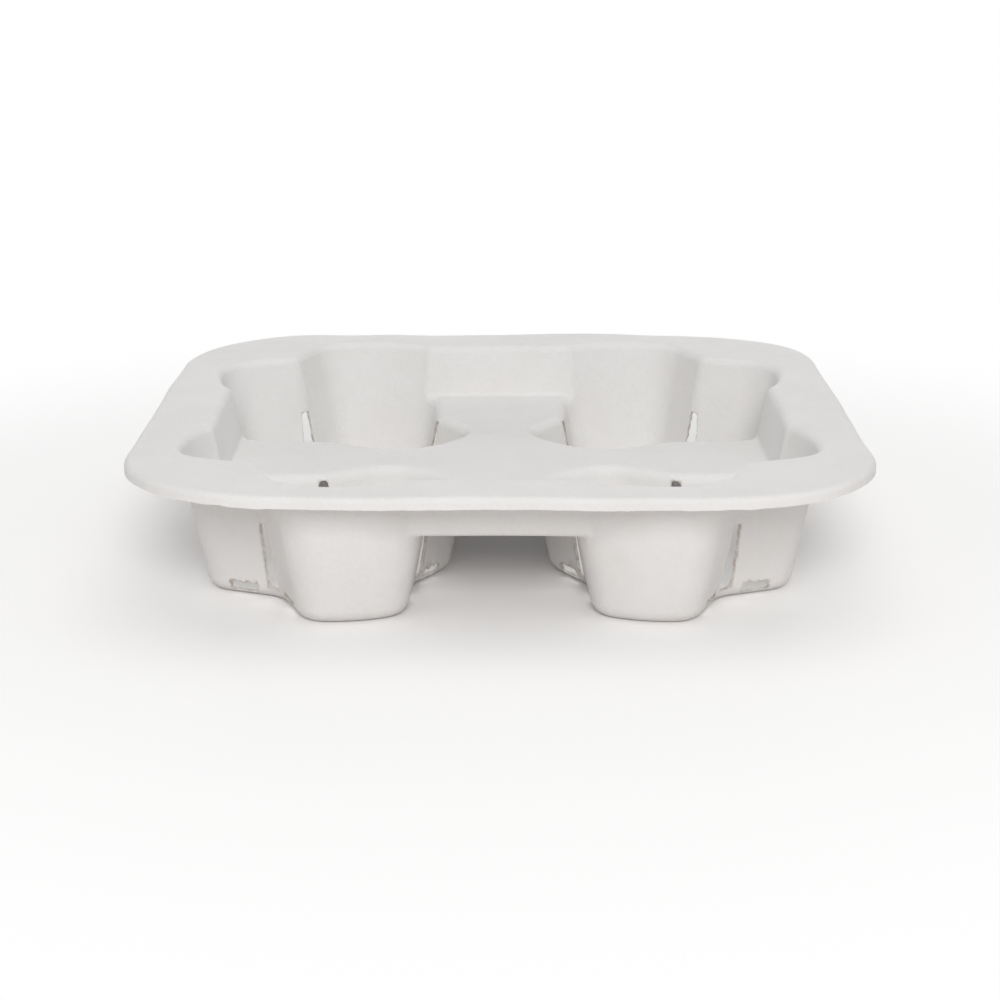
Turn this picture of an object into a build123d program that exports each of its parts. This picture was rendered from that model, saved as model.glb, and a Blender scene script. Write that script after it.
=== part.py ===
from build123d import *
import math
import os

# Four-cup carrier pressed from plant-fibre pulp: one thin sheet of even
# thickness.  A wide flat rim with a turned-down lip runs round a shallow tray.
# Four three-lobed pockets stand below the tray floor as the feet, one to a
# corner.  Each pocket has three folds pushed in towards its middle; every fold
# has an upright slit, with a low slot at the foot of the wall on either side,
# so the walls spring apart for the cup.  X runs across, Y to the back, Z up.

# ---- sheet, rim and height ----
height = 43.5            # from the standing face to the top of the rim
wall = 0.8               # thickness of the pressed sheet
draft = 11.0             # slope of every wall from upright, degrees
rim_out = 21.5           # rim's outer edge beyond the feet
corner_r = 47.0          # plan radius of the rim's corners
lip_h = 3.4              # height of the turned-down lip
lip_r = 1.8              # rounding over the top of the lip

# ---- tray between the pockets ----
floor_z = 25.4           # underside of the tray floor
arm_back = 6.4           # end walls of the tray's arms, behind the lobes' fronts

# ---- pocket plan, at the standing face ----
pocket_r = 38.0          # radius of the two outer lobes
pocket_gap = 20.0        # clear width between neighbouring pockets
inner_back = 2.0         # the inner lobe's radius is smaller by this
outer_fold_at = 0.421    # fold towards the corner: from the pocket's middle, both
                         # ways, as a part of pocket_r
inner_fold_at = (-0.589, 0.132)     # fold beside it, mirrored across the diagonal
outer_flank = 112.0      # run of the lobe's corner-side wall, degrees from X
side_flank = 87.0        # run of the lobe's other wall, degrees from X
inner_flank = 239.0      # run of the inner lobe's wall, degrees from X
lobe_r = 8.5             # rounding of a lobe's upright edges

# ---- roundings of the underside ----
fold_r = 3.8             # rounding of a fold under the rim, wider further down
foot_r = 5.0             # foot edge, round the standing face
arm_r = 2.2              # lower edge of an arm's end wall
floor_r = 3.0            # between a pocket and the tray's floor and end walls
rim_r = 2.5              # between tray wall and rim

# ---- slits and slots ----
slit_low = 4.0           # lower end of a slit above the standing face
slit_top = 1.2           # upper end of a slit below the tray floor
slit_w_low = 4.6         # width at the lower end
slit_w_high = 2.8        # width at the upper end
slot_len = 9.0           # low slot, along the wall
slot_low = 1.1           # lower edge of a low slot above the standing face
slot_high = 4.6          # upper edge of a low slot
slot_at_outer = 11.5     # middle of a slot from its fold, outer fold
slot_at_inner = 8.5      # the same from an inner fold
cut_r = 1.3              # rounding of the corners of slits and slots
cut_reach = 11.0         # reach of a slit's cutter to either side of its fold

under_rim = height - wall
slope = math.tan(math.radians(draft))
skin = wall / math.cos(math.radians(draft))     # sheet thickness, measured level
pocket_c = pocket_r + pocket_gap / 2            # pocket middle from both centre lines
width = 2 * (pocket_c + pocket_r + rim_out)     # over the lip, both ways


def from_middle(x, y):
    """Plan point given from the pocket's middle in parts of pocket_r."""
    return (pocket_c + x * pocket_r, pocket_c + y * pocket_r)


def along(point, degrees, distance):
    """Point reached from point by going distance at degrees from X."""
    a = math.radians(degrees)
    return (point[0] + distance * math.cos(a), point[1] + distance * math.sin(a))


outer_point = from_middle(outer_fold_at, outer_fold_at)
inner_point = from_middle(*inner_fold_at)
mirror_point = from_middle(inner_fold_at[1], inner_fold_at[0])

# A fold's point and the runs of the two walls leaving it, counter-clockwise.
folds = [
    (outer_point, 90.0 - outer_flank, outer_flank),
    (inner_point, side_flank, inner_flank),
    (mirror_point, 450.0 - inner_flank, 450.0 - side_flank),
]


def fold_wedge(point, first, second, inset):
    """Triangle outside the pocket, between the two walls that meet at a fold."""
    spread = math.radians((second - first) / 2)
    tip = along(point, (first + second) / 2 + 180.0, inset / math.sin(spread))
    reach = 2 * pocket_r
    return [tip, along(tip, first, reach), along(tip, second, reach)]


def nearest(vertices, points):
    """Vertices that lie on any of the points."""
    return [v for v in vertices if min((Vector(v) - p).length for p in points) < 0.01]


def pocket_plan(level, inset):
    """Three-lobed pocket outline at a level, drawn inset inside the outer face."""
    middle = (pocket_c, pocket_c)
    shrink = inset - slope * level
    fold_here = fold_r + slope * (under_rim - level) + inset
    tips = []
    with BuildSketch() as plan:
        with Locations(middle):
            Circle(pocket_r - shrink)
        # the inner lobe stands back from that circle
        with BuildSketch(mode=Mode.PRIVATE) as ring:
            with Locations(middle):
                Circle(pocket_r - shrink + wall)
                Circle(pocket_r - inner_back - shrink, mode=Mode.SUBTRACT)
            outwards = Location(along(middle, 45.0, 2 * pocket_r - lobe_r), 45.0)
            with Locations(outwards):
                Rectangle(4 * pocket_r, 4 * pocket_r, mode=Mode.SUBTRACT)
        add(ring.sketch, mode=Mode.SUBTRACT)
        for point, first, second in folds:
            corners = fold_wedge(point, first, second, shrink)
            tips.append(Vector(*corners[0], 0))
            with BuildSketch(mode=Mode.PRIVATE) as wedge:
                Polygon(*corners, align=None)
            add(wedge.sketch, mode=Mode.SUBTRACT)
        inner = nearest(plan.vertices(), tips)
        outer = [Vector(v) for v in plan.vertices() if v not in inner]
        fillet(inner, fold_here)
        fillet(nearest(plan.vertices(), outer), lobe_r - shrink)
    return plan.sketch


def cross_plan(level, inset):
    """Outline of the tray between the pockets; its sides end inside them."""
    reach = pocket_c + pocket_r + slope * level - arm_back - inset
    side = pocket_c - pocket_r / 2 + slope * level
    with BuildSketch() as plan:
        Rectangle(2 * reach, 2 * side)
        Rectangle(2 * side, 2 * reach)
    return plan.sketch


def turned_down(plan, high, low):
    """Solid narrowing downwards from the plan at the high level to the low one."""
    with BuildPart() as form:
        add(plan)
        extrude(amount=high - low, taper=draft)
    return Pos(0, 0, high) * Rot(180, 0, 0) * form.part


def edges_at(part, level):
    """Edges lying flat at a level."""
    return part.edges().filter_by_position(Axis.Z, level - 0.001, level + 0.001)


def on_centre_line(edge):
    """True for an edge whose middle lies over a centre line of the carrier."""
    middle = edge @ 0.5
    return min(abs(middle.X), abs(middle.Y)) < wall


def within_rim(edge):
    """True for an edge of the tray's mouth, inside the rim's outer edge."""
    box = edge.bounding_box()
    far = max(abs(v) for v in (box.min.X, box.max.X, box.min.Y, box.max.Y))
    return far < width / 2 - 2 * wall


def tray_form(lift, inset):
    """Solid tray and pockets under a rim plate: the sheet's underside with no lift
    and inset, its upper side with the sheet's thickness as both."""
    top = under_rim + lift
    floor = floor_z + lift
    arms = turned_down(cross_plan(top, inset), top, floor)
    arm_ends = [e for e in edges_at(arms, floor) if on_centre_line(e)]
    arms = fillet(arm_ends, arm_r - lift)
    foot = turned_down(pocket_plan(top, inset), top, lift)
    foot = fillet(edges_at(foot, lift), foot_r - lift)
    with BuildPart() as form:
        add(arms)
        with PolarLocations(0, 4):
            add(foot)
        # one rounding runs round each pocket and up beside the arms' end walls
        fillet(edges_at(form.part, floor), floor_r + lift)
        with BuildSketch(Plane.XY.offset(top)):
            RectangleRounded(width - 2 * wall, width - 2 * wall, corner_r - wall)
        extrude(amount=wall)
        fillet([e for e in edges_at(form.part, top) if within_rim(e)], rim_r + lift)
    return form.part


def upright_plane(point, facing):
    """Upright drawing plane through a plan point, its face turned to a bearing."""
    a = math.radians(facing)
    run = Vector(math.cos(a), math.sin(a), 0)
    return Plane(origin=(point[0], point[1], 0), x_dir=Vector(0, 0, 1).cross(run), z_dir=run)


def slit(point, first, second):
    """Cutter for the upright slit in a fold, wider at its lower end."""
    low, high = slit_w_low / 2, slit_w_high / 2
    top = floor_z - slit_top
    with BuildPart() as cutter:
        with BuildSketch(upright_plane(point, (first + second) / 2)) as opening:
            Polygon((-low, slit_low), (low, slit_low), (high, top), (-high, top), align=None)
            fillet(opening.vertices(), cut_r)
        extrude(amount=cut_reach, both=True)
    return cutter.part


def slot(point, run, facing, distance):
    """Cutter for the low slot at the foot of a wall, distance from its fold."""
    with BuildPart() as cutter:
        with BuildSketch(upright_plane(along(point, run, distance), facing)):
            with Locations((0, (slot_low + slot_high) / 2)):
                RectangleRounded(slot_len, slot_high - slot_low, cut_r)
        extrude(amount=foot_r + wall, both=True)
    return cutter.part


underside = tray_form(0, 0)
upper_side = tray_form(wall, skin)

with BuildPart() as cup_carrier:
    # flat rim with its lip turned down all round
    with BuildSketch(Plane.XY.offset(height - lip_h)):
        RectangleRounded(width, width, corner_r)
    extrude(amount=lip_h)
    with BuildSketch(Plane.XY.offset(height - lip_h)):
        RectangleRounded(width - 2 * wall, width - 2 * wall, corner_r - wall)
    extrude(amount=lip_h - wall, mode=Mode.SUBTRACT)
    fillet(edges_at(cup_carrier.part, under_rim), lip_r - wall)
    fillet(edges_at(cup_carrier.part, height), lip_r)
    # thin sheet of the tray and its pockets
    add(underside)
    add(upper_side, mode=Mode.SUBTRACT)
    # slits in the folds and low slots beside them
    with PolarLocations(0, 4):
        for point, first, second in folds:
            distance = slot_at_outer if point == outer_point else slot_at_inner
            add(slit(point, first, second), mode=Mode.SUBTRACT)
            add(slot(point, first, first + 90.0, distance), mode=Mode.SUBTRACT)
            add(slot(point, second, second - 90.0, distance), mode=Mode.SUBTRACT)

cup_carrier.part.label = "cup_carrier"

if __name__ == "__main__":
    os.makedirs("parts", exist_ok=True)
    export_step(cup_carrier.part, "parts/cup_carrier.step")
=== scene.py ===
"""A cup carrier pressed from white plant-fibre pulp, standing on a pale table.

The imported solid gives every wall, fold and opening. The carrier that shows is the same sheet
as it comes out of the press: its rim a little wavy, its slits drawn apart a little, its cut
edges torn and fibrous, and its faces with the felt of short fibres that pulp has.
"""

import bpy
import numpy as np
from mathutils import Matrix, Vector


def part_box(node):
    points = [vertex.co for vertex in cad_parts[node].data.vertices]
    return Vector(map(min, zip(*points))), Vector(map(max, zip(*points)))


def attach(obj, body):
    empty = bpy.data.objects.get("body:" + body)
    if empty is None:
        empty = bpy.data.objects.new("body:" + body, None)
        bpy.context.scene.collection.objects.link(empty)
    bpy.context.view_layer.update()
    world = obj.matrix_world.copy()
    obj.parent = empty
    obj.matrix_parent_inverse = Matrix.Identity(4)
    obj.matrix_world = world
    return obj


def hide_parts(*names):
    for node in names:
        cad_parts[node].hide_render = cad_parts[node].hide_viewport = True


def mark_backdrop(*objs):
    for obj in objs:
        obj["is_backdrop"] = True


MM = 0.001

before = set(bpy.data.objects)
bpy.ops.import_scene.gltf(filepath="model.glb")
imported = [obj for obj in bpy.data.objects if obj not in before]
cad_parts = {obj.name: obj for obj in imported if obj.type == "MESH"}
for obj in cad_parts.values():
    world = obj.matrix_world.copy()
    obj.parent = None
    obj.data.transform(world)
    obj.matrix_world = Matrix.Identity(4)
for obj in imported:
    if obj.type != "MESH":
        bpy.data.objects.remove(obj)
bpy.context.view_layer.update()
rng = np.random.default_rng(7)

# ------------------------------------------------------------------ sizes, as the solid has them

RIM_HALF, _, RIM_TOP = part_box("cup_carrier")[1]
RIM_CORNER = 47.0 * MM
RIM_FROM = 94.0 * MM            # the flat rim is further out than this along X or Y
LIP_FROM = 90.0 * MM            # and the whole lip further out than this
LIP_LOW = RIM_TOP - 3.4 * MM    # lower edge of the lip
LIP_ROUND = 1.8 * MM            # rounding over the top of the lip
PLATE_EDGE = 0.8 * MM           # the solid's rim plate ends this far in, with an upright step
PLATE_STEP = 0.31 * MM          # that step is just under this high
HALF_SHEET = 0.4 * MM
SLOPE = 0.1944                  # how far the walls lean out for each unit of height
FOOT = 4.6 * MM                 # rounding round the foot, in the middle of the sheet
FOLDS = (                       # fold point, runs of its two walls in degrees, slots' distance
    ((63.998 * MM, 63.998 * MM), -22.0, 112.0, 11.5 * MM),
    ((25.618 * MM, 53.016 * MM), 87.0, 239.0, 8.5 * MM),
    ((53.016 * MM, 25.618 * MM), 211.0, 363.0, 8.5 * MM),
)
FOLD_HALF = 1.2 * MM            # half the rounding where a fold's two walls meet
SLIT_LOW, SLIT_HIGH = 4.0 * MM, 24.2 * MM
SLIT_HALF_LOW, SLIT_HALF_HIGH = 2.3 * MM, 1.4 * MM
SLIT_REACH = 11.0 * MM          # a slit's cut reaches this far before and behind the fold point
SLOT_LOW, SLOT_HIGH = 1.1 * MM, 4.6 * MM
SLOT_HALF = 4.5 * MM
SLOT_REACH = 0.9 * MM           # and a slot's this far to each side of its wall's middle
SLOT_UNDER = (-0.86, -0.5)      # the way along the sheet below a slot, as ahead and up

# ------------------------------------------------------------------ press, drying and tearing

WAVE, WAVE_LENGTH = 0.30 * MM, 70.0 * MM        # long rise and fall of the rim
SHORT_WAVE, SHORT_WAVE_LENGTH = 0.12 * MM, 22.0 * MM
LEAN, LEAN_LENGTH = 0.22 * MM, 60.0 * MM        # sway of the walls
WARP_HIGH = 40.0 * MM           # waves and sway grow with the height, up to this
WARP_FROM, WARP_TO = 60.0 * MM, 107.0 * MM      # and the waves grow outwards between these
WARP_INSIDE = 0.25              # share of the long wave inside them
SLIT_SPRING = 0.4 * MM          # how far each side of a slit has drawn back at its lower end
SPRING_FADE, SPRING_TOP = 3.0 * MM, 15.0 * MM   # it fades over these: beside a slit, and up it
SPRING_BACK, SPRING_OUT = 0.94, 0.34            # shares sideways and ahead, along the wall
SLOT_TEAR, SLIT_TEAR = 0.25 * MM, 0.14 * MM     # unevenness of the torn slots and slits
TEAR_OUT = 0.1                  # share of it by which their edges lie further out
TEAR_REACH = 1.5 * MM           # how far from a cut the sheet strays with it
CUT_STRAY = (2.6 * MM, 1.1 * MM, 0.6)           # coarse and fine length, share of the fine one
LIP_TEAR = 0.07 * MM            # unevenness of the lip's lower edge
LIP_STRAY = (3.2 * MM, 1.2 * MM, 0.5)
LIP_TEAR_BELOW, LIP_TEAR_ABOVE = 0.5 * MM, 1.2 * MM     # how far from that edge it reaches

# ------------------------------------------------------------------ how fine the sheet is made

FAR = 8.0 * MM                  # beyond this, a place is away from every cut
CUT_SEARCH = SLIT_REACH + 4.0 * MM      # as is one this far from a cut's middle in X or Y
TOUCHING = 0.01 * MM            # nearer than this counts as there
ON_EDGE = 0.06 * MM             # nearer than this to a cut's outline is on its torn edge
SAME_CORNER = 0.001 * MM        # corners that are this near are one
SAME_FACE = 0.87                # normals less than 30 degrees apart: the cosine of that
ROUGH_TURN = 0.8                # a rough triangle's are at least 37 degrees apart: the cosine
ROUGH_EDGE, ROUGH_WIDTH = 3.0 * MM, 0.05 * MM   # its longest edge, and its least width
RIM_LINES = (1.0 * MM, 1.35 * MM, LIP_ROUND)    # new edges of the rim's rounding, this far in
STEP_KEPT = 0.06                # share of the step that stays, so that no triangle closes up
EDGE, EDGE_ON_RIM = 14.0 * MM, 9.0 * MM         # longest edge on walls and tray, and on the rim
EDGE_AT_LIP, EDGE_AT_SLIT, EDGE_AT_SLOT = 2.2 * MM, 1.2 * MM, 0.8 * MM
FINE_FROM = 85.0 * MM           # the lip's fine edges begin here
EDGE_GROWTH = 4.0               # an edge may be longer by this times its distance from them

# ------------------------------------------------------------------ loose fibres

FIBRES = 600
FIBRE_LENGTH = (0.5 * MM, 1.9 * MM)
FIBRE_RADIUS = (0.025 * MM, 0.055 * MM)
FIBRE_OUT, FIBRE_ASIDE = (0.4, 1.2), 0.6        # shares of its way out of the edge and aside
FIBRE_BEND = (80.0, 320.0)      # about half its curvature, for each metre
FIBRE_TIP, FIBRE_ROOT = 0.35, 0.1       # radius at the tip, length in the sheet, as shares
FIBRE_FLOOR = 0.02 * MM         # it stays this far above the table
FIBRE_RINGS, FIBRE_SIDES = 5, 3

# ------------------------------------------------------------------ finish, light and view

PULP = (0.845, 0.836, 0.825)
PULP_WARM = (0.80, 0.772, 0.745)
PULP_PALE = (0.90, 0.89, 0.875)
TORN = (0.64, 0.58, 0.53)
# brown of torn fibres, deepened by painted shade for the openings' outlines and cut faces
TORN_BROWN_AND_SHADE = (0.50, 0.43, 0.38)
ROUGH_SKIN, TORN_AND_SHADE_SKIN = 0.7, 0.26       # width of the roughened skin, and of the torn skin that is brown and darkened as painted shade, in mm
FIBRE_PALE = (0.80, 0.77, 0.72)
FIBRE_BROWN = (0.70, 0.64, 0.58)
WHITE = (1.0, 1.0, 1.0)
TABLE_LIT = (0.90, 0.87, 0.855)         # for the light that the table sends on
TABLE_SEEN = (1.11, 1.107, 1.103)       # for the camera
TABLE_HALF = 6.0
TABLE_FADE = (0.14, 0.34)               # it turns to plain white between these, from the middle

SURROUND = 0.45                 # strength of the even light from all round
SOFTBOXES = (                   # name, place, aim, size, power in watts
    ("front_softbox", (0.05, -1.4, 0.75), (0, 0, 0.02), (0.5, 0.5), 9.5),
    ("top_softbox", (0.1, 0.1, 1.3), (0, 0, 0), (1.4, 1.4), 3.8),
    ("low_softbox", (0.0, 1.2, 0.22), (0, 0, 0), (0.9, 0.3), 4.0),
)

CAMERA_PLACE = (0.0, -0.6675, 0.2039)
CAMERA_AIM = (0.0, 0.0, 0.012)
CAMERA_LENS, CAMERA_SENSOR = 78.55, 36.0        # in millimetres
CAMERA_REACH = (0.01, 50.0)             # nearest and farthest that it sees


# ------------------------------------------------------------------ the sheet as triangles


def unit(vectors):
    return vectors / np.maximum(np.linalg.norm(vectors, axis=-1, keepdims=True), 1e-12)


def joined_normals(normals, place, weight):
    """Makes the normals one where smooth faces meet.

    A corner point's normal becomes the sum of those at the same place that are on one smooth
    face with it, each times its weight, the area round it. So a curved face takes over the
    normal of the flat wall that it runs into. The points of a place follow each other once
    sorted, so each is set against the next, the next but one and so on, to the largest number
    at one place.
    """
    order = np.argsort(place, kind="stable")
    sorted_place, sorted_normals = place[order], normals[order]
    pull = sorted_normals * weight[order][:, None]
    total = pull.copy()
    for step in range(1, np.bincount(place).max()):
        same = sorted_place[step:] == sorted_place[:-step]
        close = (sorted_normals[step:] * sorted_normals[:-step]).sum(axis=1) > SAME_FACE
        pair = (same & close)[:, None]
        total[:-step] += np.where(pair, pull[step:], 0.0)
        total[step:] += np.where(pair, pull[:-step], 0.0)
    joined = np.empty_like(normals)
    joined[order] = unit(total)
    return joined


def triangles_of(node):
    """A node's triangles with shared corners.

    Corners that lie together are made one, and triangles left without area are dropped.
    Gives the corners' places, the triangles, and a normal for each corner of each triangle.
    """
    mesh = node.data
    places = np.empty(len(mesh.vertices) * 3, np.float32)
    corners = np.empty(len(mesh.loops), np.int32)
    loop_normals = np.empty(len(mesh.loops) * 3, np.float32)
    mesh.vertices.foreach_get("co", places)
    mesh.loops.foreach_get("vertex_index", corners)
    mesh.corner_normals.foreach_get("vector", loop_normals)
    places = places.reshape(-1, 3).astype(float)
    normals = np.zeros_like(places)
    normals[corners] = loop_normals.reshape(-1, 3)
    a, b, c = (places[corners[k::3]] for k in range(3))
    areas = np.linalg.norm(np.cross(b - a, c - a), axis=1)
    weight = np.bincount(corners, np.repeat(areas, 3), len(places))
    steps = np.round(places / SAME_CORNER).astype(np.int64)
    _, first, joined = np.unique(steps, axis=0, return_index=True, return_inverse=True)
    joined = joined.reshape(-1)
    normals = joined_normals(normals, joined, weight)
    faces = joined[corners].reshape(-1, 3)
    whole = (faces != np.roll(faces, 1, axis=1)).all(axis=1)
    return places[first], faces[whole], normals[corners].reshape(-1, 3, 3)[whole]


def divided(places, faces, normals, share_along):
    """Divides each edge at share_along(its ends), a share of its length, or not where that is 0.

    A triangle a b c with new points d, e and f on its edges ab, bc and ca becomes two, three or
    four triangles, as one, two or three of its edges are divided. It is first turned so that
    the divided edges come first. A new point's normal is the mean of its edge's two normals.
    """
    splits = {
        0: [[0, 1, 2]],
        1: [[0, 3, 2], [3, 1, 2]],
        2: [[3, 1, 4], [0, 3, 4], [0, 4, 2]],
        3: [[0, 3, 5], [3, 1, 4], [5, 4, 2], [3, 4, 5]],
    }
    ends = np.sort(np.stack([faces, np.roll(faces, -1, axis=1)], axis=2).reshape(-1, 2), axis=1)
    pairs, which = np.unique(ends, axis=0, return_inverse=True)
    first, second = places[pairs[:, 0]], places[pairs[:, 1]]
    share = share_along(first, second)
    number = np.where(share > 0, len(places) + np.cumsum(share > 0) - 1, -1)
    places = np.vstack([places, (first + share[:, None] * (second - first))[share > 0]])
    added = number[which.reshape(-1)].reshape(-1, 3)
    split = added >= 0
    count = split.sum(axis=1)
    turn = np.where(count == 1, split.argmax(axis=1), 0)
    turn = np.where(count == 2, (split.argmin(axis=1) + 1) % 3, turn)
    order = (turn[:, None] + np.arange(3)) % 3
    faces = np.take_along_axis(faces, order, axis=1)
    added = np.take_along_axis(added, order, axis=1)
    normals = np.take_along_axis(normals, order[:, :, None], axis=1)
    numbers = np.hstack([faces, added])
    between = unit(normals + np.roll(normals, -1, axis=1))
    directions = np.concatenate([normals, between], axis=1)
    made, turned = [], []
    for kind, pattern in splits.items():
        rows = count == kind
        for chosen in pattern:
            made.append(numbers[rows][:, chosen])
            turned.append(directions[rows][:, chosen])
    return places, np.vstack(made), np.concatenate(turned)


def refined(places, faces, normals, longest):
    """Halves each edge that is longer than longest(its middle), until there is none."""

    def half(first, second):
        length = np.linalg.norm(first - second, axis=1)
        return np.where(length > longest((first + second) / 2), 0.5, 0)

    count = 0
    while count < len(faces):
        count = len(faces)
        places, faces, normals = divided(places, faces, normals, half)
    return places, faces, normals


# ------------------------------------------------------------------ slits and slots


def cuts():
    """Every slit and slot: its middle in plan, the bearing it faces, its kind."""
    found = []
    for quarter in range(4):
        turn = np.radians(90.0 * quarter)
        spin = np.array([[np.cos(turn), -np.sin(turn)], [np.sin(turn), np.cos(turn)]])
        for point, first, second, distance in FOLDS:
            point = np.array(point)
            found.append((spin @ point, np.radians((first + second) / 2) + turn, "slit"))
            for run, facing in ((first, first + 90.0), (second, second - 90.0)):
                run = np.radians(run)
                middle = point + distance * np.array([np.cos(run), np.sin(run)])
                found.append((spin @ middle, np.radians(facing) + turn, "slot"))
    return found


CUTS = cuts()


def plan_ways(facing):
    """The way that a cut faces, and the way to its side, both in plan."""
    ahead = np.array([np.cos(facing), np.sin(facing)])
    return ahead, np.array([-ahead[1], ahead[0]])


def sheet_depth(up):
    """How far out the middle of the sheet lies at a height, from a wall's run at the table: the
    wall leans out by SLOPE, and within FOOT of the table it rounds in, on a quarter circle."""
    below = np.clip(FOOT - (up - HALF_SHEET), 0, FOOT)
    return SLOPE * up - HALF_SHEET - (FOOT - np.sqrt(FOOT**2 - below**2))


def cut_distance(places, cut):
    """How far each place is outside a cut's outline, seen along the bearing that the cut faces.

    Across is the place's distance sideways from the cut's middle. A slot is as far away as the
    largest of its distances past the slot's ends, past its upper and lower edges, and in front of
    or behind the sheet. A slit is as far as the larger of the first two, with a half width that
    shrinks evenly from its lower to its upper end, and is far from a place near another wall.
    Also gives the way that leads out of the outline along the sheet.
    """
    middle, facing, kind = cut
    ahead, aside = plan_ways(facing)
    from_middle = places[:, :2] - middle
    across, depth, up = from_middle @ aside, from_middle @ ahead, places[:, 2]
    if kind == "slit":
        low, high = SLIT_LOW, SLIT_HIGH
        share = np.clip((up - low) / (high - low), 0, 1)
        half = SLIT_HALF_LOW + (SLIT_HALF_HIGH - SLIT_HALF_LOW) * share
        beyond = np.where(np.abs(depth) < SLIT_REACH, -FAR, FAR)
        downwards = (0.0, 0.0, -1.0)
    else:
        low, high, half = SLOT_LOW, SLOT_HIGH, SLOT_HALF
        beyond = np.abs(depth - sheet_depth(up)) - SLOT_REACH
        downwards = (*(SLOT_UNDER[0] * ahead), SLOT_UNDER[1])
    sideways = np.abs(across) - half
    upright = np.maximum(up - high, low - up)
    apart = np.minimum(np.maximum(np.maximum(sideways, upright), beyond), FAR)
    out = np.zeros_like(places)
    leads = sideways > upright
    out[leads, :2] = np.sign(across[leads])[:, None] * aside
    upper = up > (low + high) / 2
    out[~leads & upper, 2] = 1.0
    out[~leads & ~upper] = downwards
    return apart, out


def nearest_cut(places):
    """For each place, the least cut distance, or FAR where no cut is near, the way out of that
    cut, and whether it is a slot."""
    least = np.full(len(places), FAR)
    out = np.zeros_like(places)
    slot = np.zeros(len(places), bool)
    low = np.flatnonzero(places[:, 2] < SLIT_HIGH + FAR)
    for cut in CUTS:
        near = low[(np.abs(places[low, :2] - cut[0]) < CUT_SEARCH).all(axis=1)]
        apart, way = cut_distance(places[near], cut)
        nearer = apart < least[near]
        chosen = near[nearer]
        least[chosen], out[chosen], slot[chosen] = apart[nearer], way[nearer], cut[2] == "slot"
    return least, out, slot


# ------------------------------------------------------------------ rounding of the rim's edge


def rim_place(places):
    """How far inside the rim's outer outline each place is, and the bearing out of it. The
    outline is a rounded square: beyond its corners' middles the distance is taken from there."""
    past = np.abs(places[:, :2]) - (RIM_HALF - RIM_CORNER)
    beyond = np.maximum(past, 0)
    inside = RIM_CORNER - np.linalg.norm(beyond, axis=1) - np.minimum(past.max(axis=1), 0)
    return inside, unit(beyond) * np.sign(places[:, :2])


def rim_line(level):
    """Where an edge on the flat rim crosses the line that runs at this level inside the outline,
    as a share of its length, and 0 where it doesn't cross it."""

    def share(first, second):
        before, after = rim_place(first)[0] - level, rim_place(second)[0] - level
        flat = np.minimum(first[:, 2], second[:, 2]) > RIM_TOP - TOUCHING
        apart = np.minimum(np.abs(before), np.abs(after)) > 2 * TOUCHING
        crosses = flat & apart & (before * after < 0)
        return np.where(crosses, before / np.where(crosses, before - after, 1.0), 0.0)

    return share


def rounded_rim(places, faces, normals):
    """Carries the rounding over the lip on to the flat rim, on a quarter circle.

    With across as 1 at the outline and 0 at LIP_ROUND inside it, and rise as the root of
    1 - across * across, the height is that of the circle's middle plus LIP_ROUND times rise,
    and across and rise are the normal's outward and upward shares. The solid's small step there
    is pressed flat.
    """
    for level in RIM_LINES:
        places, faces, normals = divided(places, faces, normals, rim_line(level))
    inside, out = rim_place(places)
    middle = RIM_TOP - LIP_ROUND
    across = np.clip(1 - inside / LIP_ROUND, 0, 1)
    rise = np.sqrt(1 - across**2)
    plate = places[:, 2] > RIM_TOP - PLATE_STEP
    skin = (inside < LIP_ROUND) & (places[:, 2] > middle)
    skin &= plate | (inside < PLATE_EDGE - TOUCHING)
    ways = np.column_stack([out * across[:, None], rise])
    normals = np.where(skin[faces][:, :, None], ways[faces], normals)
    round_height = middle + LIP_ROUND * rise
    moved = places.copy()
    stays = STEP_KEPT * (places[:, 2] - round_height)
    moved[:, 2] = np.where(skin & plate, round_height + stays, places[:, 2])
    return moved, faces, normals


# ------------------------------------------------------------------ unevenness of the sheet


def ripple(places, length, seed, terms=16):
    """A smooth random field of about that wavelength, which runs from about -1 to 1: the sum of
    sines over the root of their number. Their directions, their wavelengths, from 0.7 to 1.5
    times the length, and their starts are drawn from a fixed seed."""
    draw = np.random.default_rng(seed)
    ways = unit(draw.normal(size=(terms, 3))) * 2 * np.pi
    ways = ways / (length * draw.uniform(0.7, 1.5, (terms, 1)))
    starts = draw.uniform(0, 2 * np.pi, terms)
    return np.sin(places @ ways.T + starts).sum(axis=1) / np.sqrt(terms)


def smooth_step(values, low, high):
    """0 up to low, 1 from high, and 3 s s - 2 s s s between them, with s the share of the way."""
    share = np.clip((values - low) / (high - low), 0, 1)
    return share * share * (3 - 2 * share)


def warp(places):
    """Where the press and drying leave each place: the rim rises and falls in long and short
    waves, more towards its edge, the walls lean in and out a little, and the feet stay on the
    table."""
    edge = np.abs(places[:, :2]).max(axis=1)
    height = smooth_step(places[:, 2], 0.0, WARP_HIGH)
    outer = smooth_step(edge, WARP_FROM, WARP_TO)
    long_share = height * (WARP_INSIDE + (1 - WARP_INSIDE) * outer)
    moved = np.zeros_like(places)
    moved[:, 2] = WAVE * long_share * ripple(places, WAVE_LENGTH, seed=3)
    moved[:, 2] += SHORT_WAVE * height * outer * ripple(places, SHORT_WAVE_LENGTH, seed=4)
    moved[:, 0] = LEAN * ripple(places, LEAN_LENGTH, seed=5) * height
    moved[:, 1] = LEAN * ripple(places, LEAN_LENGTH, seed=6) * height
    return moved


def stray(places, coarse, fine, fine_share, seed):
    """How a torn edge runs: a coarse ripple and a share of a fine one."""
    return ripple(places, coarse, seed) + fine_share * ripple(places, fine, seed + 1)


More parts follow.
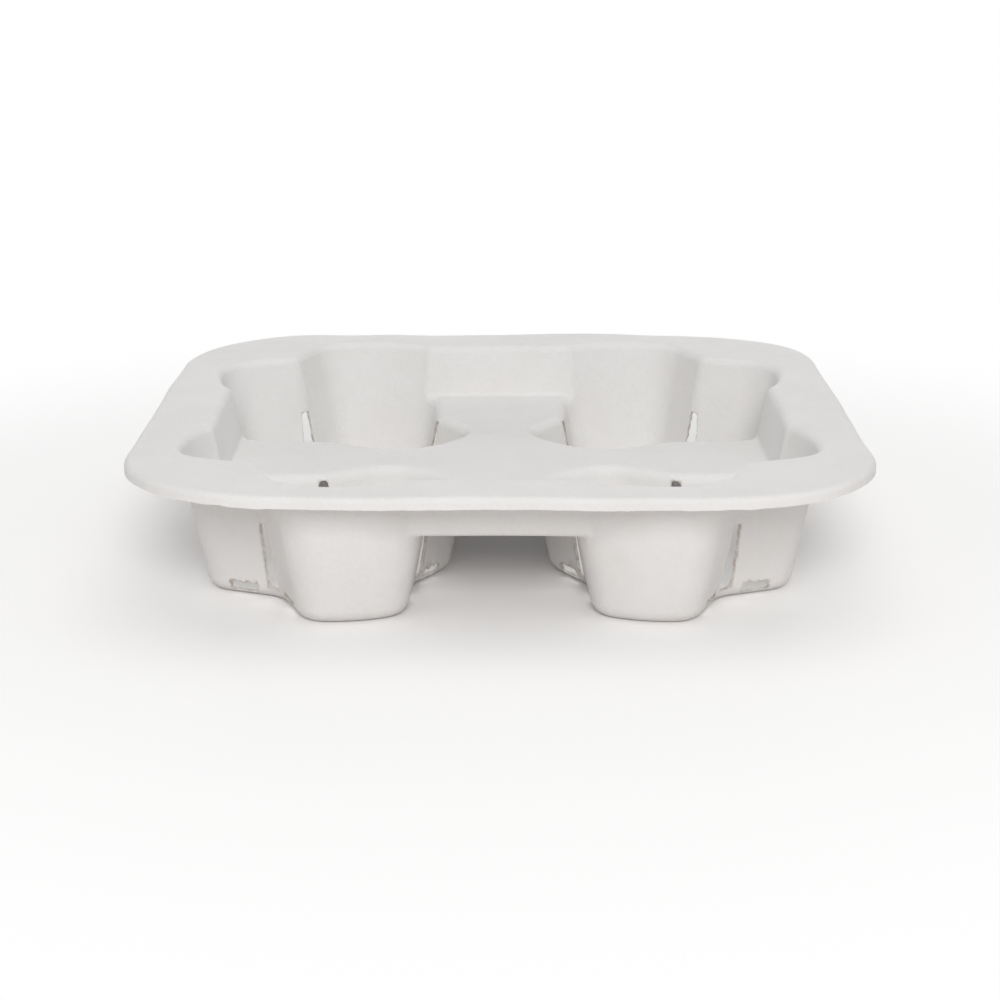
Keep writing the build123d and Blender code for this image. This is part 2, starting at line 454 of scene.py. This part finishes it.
def torn(places):
    """How far torn edges stray: along the way out of the nearest cut, less and less up to
    TEAR_REACH from it, and up or down along the lip's lower edge."""
    moved = np.zeros_like(places)
    apart, out, slot = nearest_cut(places)
    near = np.flatnonzero(apart < TEAR_REACH)
    fade = 1 - smooth_step(apart[near], 0.0, TEAR_REACH)
    size = np.where(slot[near], SLOT_TEAR, SLIT_TEAR) * fade
    size = size * (stray(places[near], *CUT_STRAY, seed=8) + TEAR_OUT)
    moved[near] = out[near] * size[:, None]
    edge = np.abs(places[:, :2]).max(axis=1)
    above = places[:, 2] - LIP_LOW
    lip = np.flatnonzero((above > -LIP_TEAR_BELOW) & (above < LIP_TEAR_ABOVE) & (edge > LIP_FROM))
    fade = 1 - smooth_step(above[lip], 0.0, LIP_TEAR_ABOVE)
    moved[lip, 2] += LIP_TEAR * fade * stray(places[lip], *LIP_STRAY, seed=10)
    return moved


def sprung(places):
    """How far the two sides of each slit have drawn apart in drying: along their walls, which
    run back at about 70 degrees from the way that the slit faces. It is whole on a slit's edge,
    fades in SPRING_FADE from there and in the upper SPRING_TOP, and grows from nothing on the
    fold's own line."""
    moved = np.zeros_like(places)
    for cut in CUTS:
        middle, facing, kind = cut
        if kind == "slit":
            ahead, aside = plan_ways(facing)
            near = np.flatnonzero((np.abs(places[:, :2] - middle) < SLIT_REACH).all(axis=1))
            side = np.clip((places[near, :2] - middle) @ aside / FOLD_HALF, -1, 1)[:, None]
            along = SPRING_BACK * side * aside + SPRING_OUT * np.abs(side) * ahead
            fade = 1 - smooth_step(cut_distance(places[near], cut)[0], 0.0, SPRING_FADE)
            fade *= smooth_step(SLIT_HIGH - places[near, 2], 0.0, SPRING_TOP)
            moved[near, :2] += SLIT_SPRING * fade[:, None] * along
    return moved


def bent_normals(places, faces, normals, field, step=0.05 * MM):
    """Normals after a field has moved the places: n less the field's change along each axis
    times n, measured over a small step, which holds while the field changes slowly."""
    at = places[faces].reshape(-1, 3)
    before = field(at)
    flat = normals.reshape(-1, 3)
    turned = flat.copy()
    for axis in range(3):
        shifted = at.copy()
        shifted[:, axis] += step
        change = (field(shifted) - before) / step
        turned[:, axis] -= (change * flat).sum(axis=1)
    return unit(turned).reshape(-1, 3, 3)


def edge_length(middles):
    """Longest edge that the sheet keeps at a place: one length on the rim and one elsewhere, and
    less towards the lip's lower edge, slots and slits, growing with the distance from them."""
    apart, _, slot = nearest_cut(middles)
    edge = np.abs(middles[:, :2]).max(axis=1)
    length = np.where(edge > RIM_FROM, EDGE_ON_RIM, EDGE)
    from_lip = np.where(edge > FINE_FROM, np.abs(middles[:, 2] - LIP_LOW), FAR)
    length = np.minimum(length, EDGE_AT_LIP + EDGE_GROWTH * from_lip)
    finest = np.where(slot, EDGE_AT_SLOT, EDGE_AT_SLIT)
    return np.minimum(length, finest + EDGE_GROWTH * np.maximum(apart, 0))


def mesh_from(name, places, faces, normals=None):
    """A mesh object of triangles, smooth, with a normal at each corner where they are given."""
    mesh = bpy.data.meshes.new(name)
    mesh.vertices.add(len(places))
    mesh.vertices.foreach_set("co", places.astype(np.float32).reshape(-1))
    mesh.loops.add(faces.size)
    mesh.loops.foreach_set("vertex_index", faces.astype(np.int32).reshape(-1))
    mesh.polygons.add(len(faces))
    mesh.polygons.foreach_set("loop_start", np.arange(0, faces.size, 3, dtype=np.int32))
    mesh.update(calc_edges=True)
    mesh.polygons.foreach_set("use_smooth", np.ones(len(faces), bool))
    if normals is not None:
        mesh.normals_split_custom_set(normals.reshape(-1, 3))
    made = bpy.data.objects.new(name, mesh)
    bpy.context.scene.collection.objects.link(made)
    return made


def pulp_sheet(node):
    """The carrier's sheet: the solid's triangles, refined, warped, torn and sprung at the slits.

    Beside slits and slots, a triangle whose own normal is far from the carried one takes its
    own, unless it is large or a sliver. The sheet's attribute from_cut is the distance from the
    nearest slit or slot of the solid, in millimetres.
    """
    places, faces, normals = refined(*triangles_of(node), edge_length)
    places, faces, normals = rounded_rim(places, faces, normals)
    normals = bent_normals(places, faces, normals, warp)
    apart = nearest_cut(places)[0]
    places = places + warp(places) + torn(places) + sprung(places)
    places[:, 2] = np.maximum(places[:, 2], 0.0)
    a, b, c = (places[faces[:, k]] for k in range(3))
    across = np.cross(b - a, c - a)
    longest = np.linalg.norm(np.stack([b - a, c - b, a - c]), axis=2).max(axis=0)
    full = np.linalg.norm(across, axis=1) > ROUGH_WIDTH * longest
    own = np.broadcast_to(unit(across)[:, None, :], normals.shape)
    rough = full & (longest < ROUGH_EDGE) & (apart[faces].min(axis=1) < TEAR_REACH)
    far = ((normals * own).sum(axis=2) < ROUGH_TURN) & rough[:, None]
    normals[far] = own[far]
    made = mesh_from("pulp_sheet", places, faces, normals)
    mark = made.data.attributes.new("from_cut", "FLOAT", "POINT")
    mark.data.foreach_set("value", (apart / MM).astype(np.float32))
    return made, places, apart


def loose_fibres(places, apart, count):
    """Short fibres that stand out of torn edges: bent three-sided strands.

    Each starts at a place on a torn edge, leaves towards the opening and to one side, and bends
    over along its length: place = start + s * way + s * s * bend, with s from a little below 0,
    in the sheet, to the strand's length. Its radius shrinks evenly towards the tip.
    """
    edge = np.flatnonzero(np.abs(apart) < ON_EDGE)
    start = places[rng.choice(edge, count)]
    out = nearest_cut(start)[1]
    aside = rng.normal(size=(count, 3))
    way = unit(-out * rng.uniform(*FIBRE_OUT, (count, 1)) + FIBRE_ASIDE * aside)
    bend = unit(rng.normal(size=(count, 3))) * rng.uniform(*FIBRE_BEND, (count, 1))
    length = rng.uniform(*FIBRE_LENGTH, (count, 1, 1))
    s = np.linspace(-FIBRE_ROOT, 1, FIBRE_RINGS)[None, :, None] * length
    line = start[:, None] + s * way[:, None] + s * s * bend[:, None]
    not_way = np.roll(way, 1, axis=1) + 0.1
    first = unit(np.cross(way, not_way))
    second = np.cross(way, first)
    angle = np.arange(FIBRE_SIDES) * 2 * np.pi / FIBRE_SIDES
    ring = first[:, None, None] * np.cos(angle)[None, None, :, None]
    ring = ring + second[:, None, None] * np.sin(angle)[None, None, :, None]
    radius = rng.uniform(*FIBRE_RADIUS, (count, 1, 1, 1))
    radius = radius * np.linspace(1, FIBRE_TIP, FIBRE_RINGS)[None, :, None, None]
    skin = (line[:, :, None] + ring * radius).reshape(-1, 3)
    skin[:, 2] = np.maximum(skin[:, 2], FIBRE_FLOOR)
    base = np.arange(count)[:, None, None] * FIBRE_RINGS * FIBRE_SIDES
    along = np.arange(FIBRE_RINGS - 1)[None, :, None] * FIBRE_SIDES
    around = np.arange(FIBRE_SIDES)[None, None, :]
    here, there = base + along + around, base + along + (around + 1) % FIBRE_SIDES
    lower = np.stack([here, there, there + FIBRE_SIDES], -1)
    upper = np.stack([here, there + FIBRE_SIDES, here + FIBRE_SIDES], -1)
    root = base[:, 0] + np.array([[0, 2, 1]])
    tip = base[:, 0] + (FIBRE_RINGS - 1) * FIBRE_SIDES + np.array([[0, 1, 2]])
    faces = np.vstack([lower.reshape(-1, 3), upper.reshape(-1, 3), root, tip])
    return mesh_from("loose_fibres", skin, faces)


# ------------------------------------------------------------------ shader maths


class Value:
    """A shader socket for use in Python expressions. Each operator adds one Math node."""

    def __init__(self, maker, socket):
        self.maker, self.socket = maker, socket

    def _math(self, operation, first, second):
        return self.maker.node("ShaderNodeMath", {"operation": operation}, {0: first, 1: second})

    def __add__(self, other):
        return self._math("ADD", self, other)

    def __sub__(self, other):
        return self._math("SUBTRACT", self, other)

    def __rsub__(self, other):
        return self._math("SUBTRACT", other, self)

    def __mul__(self, other):
        return self._math("MULTIPLY", self, other)

    __radd__ = __add__
    __rmul__ = __mul__


class Maker:
    """Adds nodes to the emptied tree of a new material or world."""

    def __init__(self, owner):
        self.owner = owner
        owner.use_nodes = True
        self.tree = owner.node_tree
        self.tree.nodes.clear()

    def node(self, kind, settings=None, inputs=None, output=0):
        """One node: its settings are put in first, then the values or links of its sockets."""
        made = self.tree.nodes.new(kind)
        for name, setting in (settings or {}).items():
            setattr(made, name, setting)
        for name, value in (inputs or {}).items():
            socket = made.inputs[name]
            if isinstance(value, Value):
                self.tree.links.new(value.socket, socket)
            elif socket.type == "RGBA":
                socket.default_value = (*value, 1.0)
            else:
                socket.default_value = value
        return Value(self, made.outputs[output]) if len(made.outputs) else None

    def mix(self, factor, first, second):
        """A colour between first and second."""
        settings = {"data_type": "RGBA", "clamp_factor": True}
        return self.node("ShaderNodeMix", settings, {0: factor, 6: first, 7: second}, output=2)

    def ramp(self, value, low, high):
        """0 below low, 1 above high, and a smooth rise between them."""
        settings = {"interpolation_type": "SMOOTHSTEP"}
        inputs = {"Value": value, "From Min": low, "From Max": high}
        return self.node("ShaderNodeMapRange", settings, inputs)

    def place(self):
        """Where a point lies on the object, in metres."""
        return self.node("ShaderNodeTexCoord", output=3)

    def attribute(self, name):
        """A number that the mesh carries at each of its points."""
        return self.node("ShaderNodeAttribute", {"attribute_name": name}, output=2)

    def noise(self, where, scale, detail=2.0, roughness=0.5):
        """Soft random spots, from about 0.3 to 0.7, with about scale of them along each metre."""
        inputs = {"Vector": where, "Scale": scale, "Detail": detail, "Roughness": roughness}
        return self.node("ShaderNodeTexNoise", {"noise_dimensions": "3D"}, inputs)

    def stretched(self, where, turn, stretch):
        """The place turned by turn and stretched, for marks that run one way."""
        inputs = {"Vector": where, "Rotation": turn, "Scale": stretch}
        return self.node("ShaderNodeMapping", {"vector_type": "TEXTURE"}, inputs)

    def seen(self):
        """1 for light that reaches the camera straight, or by reflection or through glass."""
        straight = self.node("ShaderNodeLightPath", output="Is Camera Ray")
        mirrored = self.node("ShaderNodeLightPath", output="Is Glossy Ray")
        through = self.node("ShaderNodeLightPath", output="Is Transmission Ray")
        return straight + mirrored + through

    def surface(self, shader, kind="ShaderNodeOutputMaterial"):
        """Links the shader to the output, and gives the finished material or world."""
        self.node(kind, inputs={"Surface": shader})
        return self.owner


# ------------------------------------------------------------------ finishes


def pulp_finish():
    """Matt white pulp: a fine felt of short fibres, soft unevenness from the press, faint warm
    clouds, a browner, rougher skin beside slits and slots, and brown torn edges, darkened further
    along the openings' outlines as painted shade."""
    m = Maker(bpy.data.materials.new("white_pulp"))
    where = m.place()
    felt = m.noise(where, scale=2600.0, detail=3.0, roughness=0.6)
    grain = m.noise(where, scale=900.0, detail=3.0, roughness=0.55)
    dents = m.noise(where, scale=150.0)
    swells = m.noise(where, scale=60.0, detail=1.0)
    clouds = m.noise(where, scale=45.0, detail=3.0)
    patches = m.ramp(m.noise(where, scale=420.0), 0.38, 0.62)
    from_cut = m.attribute("from_cut")
    tear = 1.0 - m.ramp(from_cut, 0.0, ROUGH_SKIN)
    # a narrow band at each cut, in patches: the torn fibres' own brown, partly painted shade
    edge = (1.0 - m.ramp(from_cut, 0.0, TORN_AND_SHADE_SKIN)) * patches
    strands = 0.0
    for turn in ((0.3, 0.5, 0.2), (1.4, 0.2, 1.1), (0.8, 1.3, 2.2)):
        lines = m.noise(m.stretched(where, turn, (6.0, 1.0, 1.0)), scale=2200.0, detail=1.0)
        strands = m.ramp(lines, 0.60, 0.68) + strands
    height = swells + dents * 1.2 + grain * 0.40 + felt * (0.18 + tear * 0.5) + strands * 0.09
    relief = {"Height": height, "Strength": 1.0, "Distance": 0.3 * MM}
    bump = m.node("ShaderNodeBump", inputs=relief)
    warmth = m.ramp(clouds, 0.35, 0.75) * 0.40 + m.ramp(grain, 0.5, 0.8) * 0.20
    colour = m.mix(warmth, PULP, PULP_WARM)
    colour = m.mix(strands * 0.15, colour, PULP_PALE)
    colour = m.mix(tear * (0.1 + grain * 0.7), colour, TORN)
    # torn outline: partly the fibres' own brown, partly painted shade where openings and cut
    # faces lie in shadow
    colour = m.mix(edge * (0.1 + grain * 1.1), colour, TORN_BROWN_AND_SHADE)
    inputs = {"Base Color": colour, "Roughness": 0.84 + grain * 0.12, "Normal": bump}
    inputs["Specular IOR Level"] = 0.3
    return m.surface(m.node("ShaderNodeBsdfPrincipled", inputs=inputs))


def fibre_finish():
    """Pale, slightly brown fibres, uneven along their length."""
    m = Maker(bpy.data.materials.new("bare_fibre"))
    streaks = m.noise(m.place(), scale=1800.0)
    colour = m.mix(m.ramp(streaks, 0.35, 0.65), FIBRE_PALE, FIBRE_BROWN)
    inputs = {"Base Color": colour, "Roughness": 0.75 + streaks * 0.2}
    return m.surface(m.node("ShaderNodeBsdfPrincipled", inputs=inputs))


def table_finish():
    """A white table that keeps the carrier's shadow, and turns to plain white away from it.
    Seen by the camera it is a little whiter than the light that it sends on."""
    m = Maker(bpy.data.materials.new("table"))
    where = m.place()
    speckle = m.noise(where, scale=300.0)
    seen = m.seen()
    base = m.mix(seen * (1.0 - speckle * 0.04), TABLE_LIT, TABLE_SEEN)
    lit = m.node("ShaderNodeBsdfDiffuse", inputs={"Color": base})
    glow = m.node("ShaderNodeEmission", inputs={"Color": WHITE})
    far = m.node("ShaderNodeVectorMath", {"operation": "LENGTH"}, {0: where}, output=1)
    away = m.ramp(far, *TABLE_FADE) * seen
    return m.surface(m.node("ShaderNodeMixShader", inputs={0: away, 1: lit, 2: glow}))


# ------------------------------------------------------------------ table, light and camera


def table(half):
    """A flat square at the height of the feet."""
    mesh = bpy.data.meshes.new("table")
    corners = [(-half, -half, 0.0), (half, -half, 0.0), (half, half, 0.0), (-half, half, 0.0)]
    mesh.from_pydata(corners, [], [(0, 1, 2, 3)])
    made = bpy.data.objects.new("table", mesh)
    bpy.context.scene.collection.objects.link(made)
    mesh.materials.append(table_finish())
    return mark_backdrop(made)


def aimed(thing, place, aim):
    """Puts a lamp or the camera at place, looking at aim."""
    thing.location = place
    thing.rotation_euler = (Vector(aim) - Vector(place)).to_track_quat("-Z", "Y").to_euler()
    bpy.context.scene.collection.objects.link(thing)
    return thing


def softbox(name, place, aim, size, power):
    """A lamp with an even, rectangular face."""
    lamp = bpy.data.lights.new(name, "AREA")
    lamp.shape, lamp.size, lamp.size_y = "RECTANGLE", *size
    lamp.energy = power
    return aimed(bpy.data.objects.new(name, lamp), place, aim)


def surround(strength):
    """Even white light from all round, seen as plain white by the camera and in reflections."""
    m = Maker(bpy.data.worlds.new("surround"))
    light = m.node("ShaderNodeBackground", inputs={"Color": WHITE, "Strength": strength})
    white = m.node("ShaderNodeBackground", inputs={"Color": WHITE, "Strength": 1.0})
    mixed = m.node("ShaderNodeMixShader", inputs={0: m.seen(), 1: light, 2: white})
    bpy.context.scene.world = m.surface(mixed, "ShaderNodeOutputWorld")


# ------------------------------------------------------------------ the carrier

sheet, sheet_places, sheet_apart = pulp_sheet(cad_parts["cup_carrier"])
sheet.data.materials.append(pulp_finish())
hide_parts("cup_carrier")
fibres = loose_fibres(sheet_places, sheet_apart, FIBRES)
fibres.data.materials.append(fibre_finish())
for piece in (sheet, fibres):
    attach(piece, "root")

# ------------------------------------------------------------------ its surroundings

table(TABLE_HALF)
surround(SURROUND)
for box in SOFTBOXES:
    softbox(*box)

camera_data = bpy.data.cameras.new("camera")
camera_data.lens, camera_data.sensor_width = CAMERA_LENS, CAMERA_SENSOR
camera_data.clip_start, camera_data.clip_end = CAMERA_REACH
camera = aimed(bpy.data.objects.new("camera", camera_data), CAMERA_PLACE, CAMERA_AIM)
bpy.context.scene.camera = camera
bpy.context.scene.view_settings.view_transform = "Standard"
